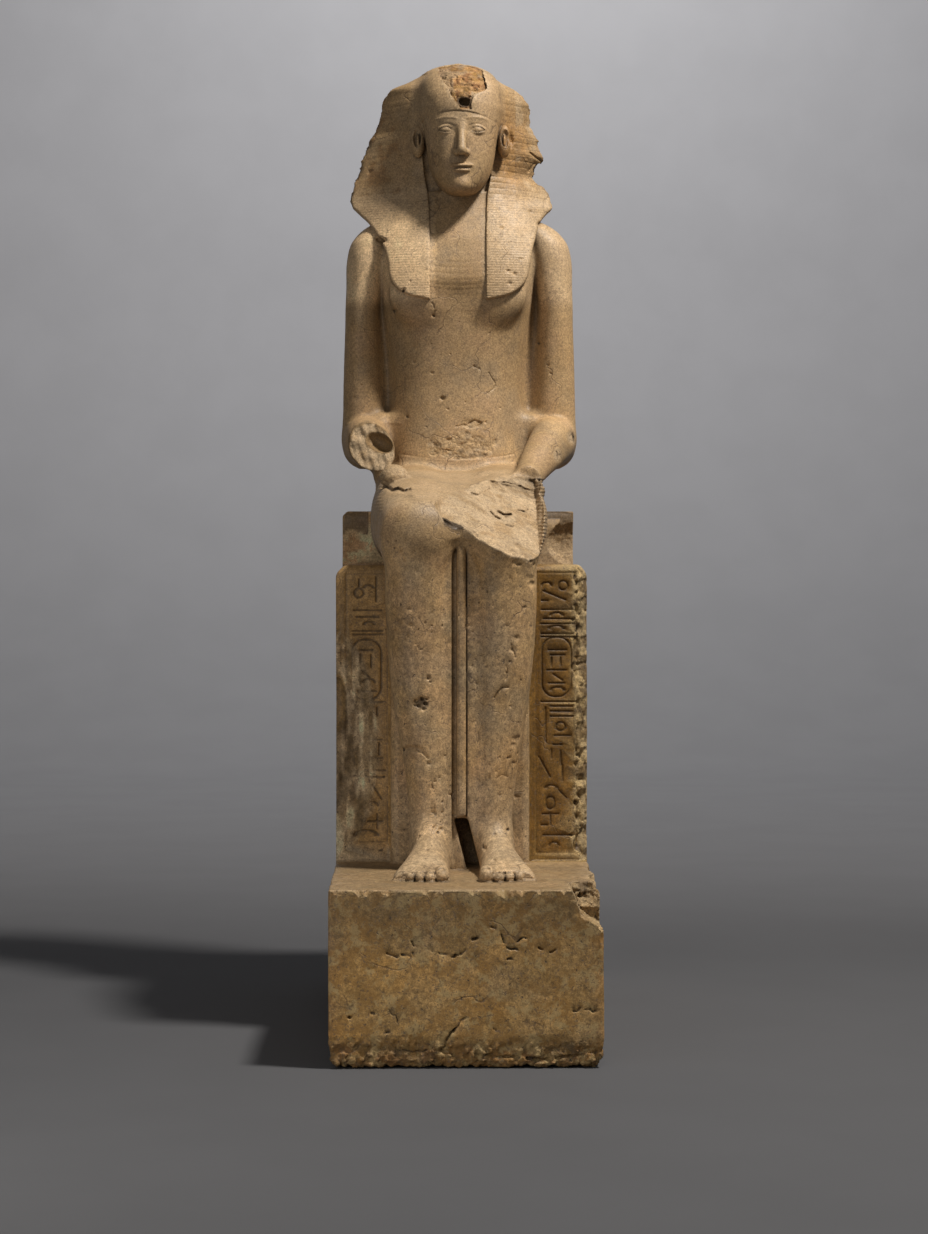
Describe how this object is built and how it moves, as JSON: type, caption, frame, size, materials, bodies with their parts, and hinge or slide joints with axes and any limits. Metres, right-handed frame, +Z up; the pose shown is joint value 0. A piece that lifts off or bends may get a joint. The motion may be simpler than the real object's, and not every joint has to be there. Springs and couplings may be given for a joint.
{
  "type": "seated woman statue",
  "caption": "Seated figure of a queen in pleated headcloth and kilt on a block throne with low back-rest and tall base, carved from one worn limestone block",
  "frame": {"origin": "centre of the bounding box in X and Y, on the ground plane under the base", "axes": "+Z up, the figure faces -Y, +X is the figure's own left side"},
  "size_m": [0.5, 1.14, 1.964],
  "materials": {
    "limestone": "indurated beige limestone, smoothed by hand, weathered and chipped, ochre patina on throne and base"
  },
  "bodies": {
    "root": {"statue": "limestone"}
  },
  "joints": []
}
